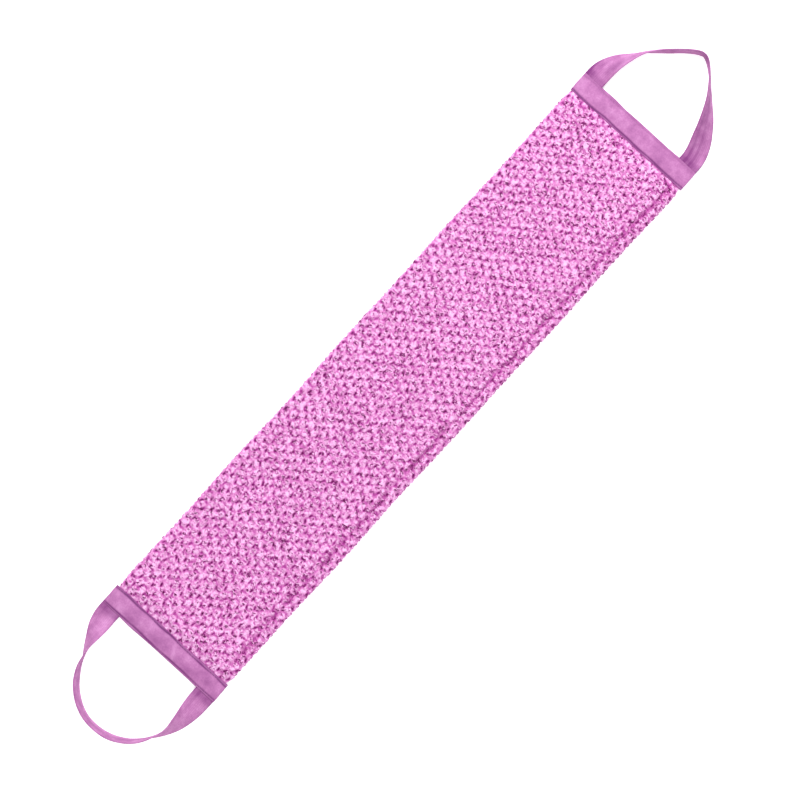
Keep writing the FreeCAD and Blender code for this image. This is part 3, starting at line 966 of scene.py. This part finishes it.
def ribbon_piece(side, material):
    """One hand loop with its sewn-in ends: a single ribbon that turns on to its edge."""
    sign = SIGN[side]
    line, even, start, tip = loop_middle(side)
    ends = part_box(side + "_loop_ends")
    sewn_z = (ends[0].z + ends[1].z) / 2
    reach = abs(tip - start)
    out = np.clip((line[:, 0] - start) * sign / reach, 0, 1)
    upper = line[:, 1] > 0
    full = np.where(upper, *TWIST_SHARE[side])
    start_slow = np.where(upper, *TWIST_START[side])
    turned = np.sin(math.pi / 2 * np.clip(out / full, 0, 1)) ** start_slow
    turn = (math.pi / 2 + LOOP_LEAN[side]) * turned
    tangent = np.gradient(line, axis=0)
    tangent /= np.linalg.norm(tangent, axis=1, keepdims=True)
    flat_out = np.stack([tangent[:, 1], -tangent[:, 0], np.zeros(len(line))], -1) * -sign
    down = np.array([0, 0, -1.0])
    across = flat_out * np.cos(turn)[:, None] + down * np.sin(turn)[:, None]
    normal = np.cross(np.concatenate([tangent, np.zeros((len(line), 1))], 1), across)
    lying = LOOP_FLOOR + np.abs(np.sin(turn)) * RIBBON_WIDTH / 2 + np.abs(np.cos(turn)) * RIBBON_THICK / 2
    settled = ease(out / LOOP_SETTLE)
    z = sewn_z * (1 - settled) + lying * settled
    centre = np.concatenate([line, z[:, None]], 1)
    columns = 21
    share = np.linspace(-1, 1, columns)
    free = ease(out * 6)[:, None]
    hollow = 0.55 * MM * (0.6 + 0.5 * wander(even, 31 * MM, SEED + 60))
    hollow = hollow + 1.1 * MM * np.exp(-(np.cos(turn) / 0.3) ** 2)
    cup = (1 - share[None, :] ** 2) * hollow[:, None] * free
    ripple = 0.28 * MM * free * np.abs(share[None, :]) ** 3
    ripple = ripple * np.where(share[None, :] > 0, wander(even, 11 * MM, SEED + 61)[:, None],
                               wander(even, 13 * MM, SEED + 62)[:, None])
    at_header = np.exp(-(out / 0.10) ** 2)[:, None] * free
    pleat = 0.55 * MM * at_header * np.cos(share[None, :] * 5.2 + (1.4 if side == "left" else 0.4))
    bow = cup + ripple + pleat
    selvedge = 1 + 0.18 * (np.abs(share) > 0.9)
    half = RIBBON_THICK / 2 * selvedge * np.clip(np.sqrt(1 - share ** 14), 0.45, 1)
    place = centre[:, None] + across[:, None] * (share[None, :, None] * RIBBON_WIDTH / 2)
    place = place + normal[:, None] * bow[:, :, None]
    top = place + normal[:, None] * half[None, :, None]
    bottom = place - normal[:, None] * half[None, :, None]
    ring = np.concatenate([top, bottom[:, ::-1]], 1)
    ring[:, :, 2] = np.maximum(ring[:, :, 2], 0.12 * MM)
    rows, round_ = ring.shape[:2]
    faces = grid_faces(rows, round_, True)
    caps = []
    for row in (0, rows - 1):
        for k in range(columns - 1):
            a, b = row * round_ + k, row * round_ + k + 1
            c, d = row * round_ + round_ - 2 - k, row * round_ + round_ - 1 - k
            caps.append([a, b, c, d] if row == 0 else [a, d, c, b])
    faces = np.concatenate([faces, np.array(caps)])
    side_share = np.concatenate([share, share[::-1]])
    yarn_across = np.broadcast_to(side_share[None, :] * RIBBON_WIDTH / 2, ring.shape[:2])
    yarn_along = np.broadcast_to(even[:, None], ring.shape[:2])
    paling = np.clip(np.abs(side_share) - 0.82, 0, 1) / 0.9
    piece = make_mesh(side + "_hand_loop_ribbon", ring.reshape(-1, 3), faces, material, {
        "yarn_along": yarn_along.ravel(),
        "yarn_across": yarn_across.ravel(),
        "wear_and_highlight": np.broadcast_to(paling[None, :], ring.shape[:2]).ravel(),
        "painted_shade": ribbon_shadow(side, line, even, out, side_share).ravel(),
    })
    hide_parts(side + "_hand_loop", side + "_loop_ends")
    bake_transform(piece)
    return piece


# ---------------------------------------------------------------- stage, lights and camera

def make_stage():
    n = Nodes("studio_floor")
    n.shader.inputs["Base Color"].default_value = (0.93, 0.93, 0.93, 1)
    n.shader.inputs["Roughness"].default_value = 0.9
    n.shader.inputs["Specular IOR Level"].default_value = 0.1
    n.shader.inputs["Emission Color"].default_value = (1, 1, 1, 1)
    n.shader.inputs["Emission Strength"].default_value = 0.5
    reach = 6.0
    corners = [(-reach, -reach, 0), (reach, -reach, 0), (reach, reach, 0), (-reach, reach, 0)]
    floor = make_mesh("floor", corners, [[0, 1, 2, 3]], n.material, smooth=False)


def area_light(name, place, size, power):
    """A round soft light, aimed at the middle of the strap."""
    data = bpy.data.lights.new(name, "AREA")
    data.shape = "DISK"
    data.size = size
    data.energy = power
    light = bpy.data.objects.new(name, data)
    light.location = place
    light.rotation_euler = (-Vector(place)).to_track_quat("-Z", "Y").to_euler()
    bpy.context.scene.collection.objects.link(light)


def make_lights(up):
    """Soft studio light: a broad key from the view's upper side, a fill and a pale surround."""
    area_light("key", (up[0] * 1.5, up[1] * 1.5, 1.9), 1.1, 56)
    area_light("fill", (-up[0] * 1.4, -up[1] * 1.4, 1.6), 1.8, 12)
    world = bpy.data.worlds.new("surround")
    world.use_nodes = True
    world.node_tree.nodes["Background"].inputs["Color"].default_value = (1, 1, 1, 1)
    world.node_tree.nodes["Background"].inputs["Strength"].default_value = 0.68
    bpy.context.scene.world = world


# The strap is seen from far above, so that it shows almost flat
CAMERA_ROLL = math.radians(-47.6)
CAMERA_LENS = 800
VIEW_WIDTH = 0.701
VIEW_CENTRE = (-0.0051, -0.0080)


def make_camera():
    data = bpy.data.cameras.new("camera")
    data.lens = CAMERA_LENS
    data.sensor_width = 36
    distance = VIEW_WIDTH * data.lens / data.sensor_width
    camera = bpy.data.objects.new("camera", data)
    camera.location = (*VIEW_CENTRE, distance)
    camera.rotation_euler = (0, 0, CAMERA_ROLL)
    data.clip_start, data.clip_end = 0.1, 40
    bpy.context.scene.collection.objects.link(camera)
    bpy.context.scene.camera = camera
    return (-math.sin(CAMERA_ROLL), math.cos(CAMERA_ROLL))


# ---------------------------------------------------------------- the scene

bpy.context.scene.view_settings.view_transform = "Standard"
view_up = make_camera()
make_lights(view_up)
make_stage()

knit_cloth = knit_material()
fibre_cloth = fuzz_material()
yarn_cloth = loop_material()
tape_cloth = tape_material("woven_tape", 0.0)
ribbon_cloth = tape_material("woven_ribbon", 0.035)
seam_yarn = thread_material("seam_yarn", MAGENTA, MAGENTA_LIGHT)
plain_yarn = thread_material("plain_header_yarn", ORCHID_DARK, ORCHID)
header_yarn = thread_material("header_yarn", PLUM, PLUM_LIGHT)

whole_sleeve = Sleeve()
knit = knit_pieces(whole_sleeve, knit_cloth)
pile = pile_loops(whole_sleeve, yarn_cloth)
fibres = fuzz_pieces(whole_sleeve, fibre_cloth)
seam = seam_threads(whole_sleeve, seam_yarn)
bend_pieces(knit, pile, fibres, seam)

for end_side in ("left", "right"):
    end_header = Header(end_side)
    for tape_face in ("front", "back"):
        tape_piece(end_header, tape_face, tape_cloth)
    for row_place in ("outer", "inner"):
        for row_thread in ("needle", "bobbin"):
            plain = row_place == "outer" and end_side == "right"
            header_stitches(end_header, row_place, row_thread, plain_yarn if plain else header_yarn)
    ribbon_piece(end_side, ribbon_cloth)
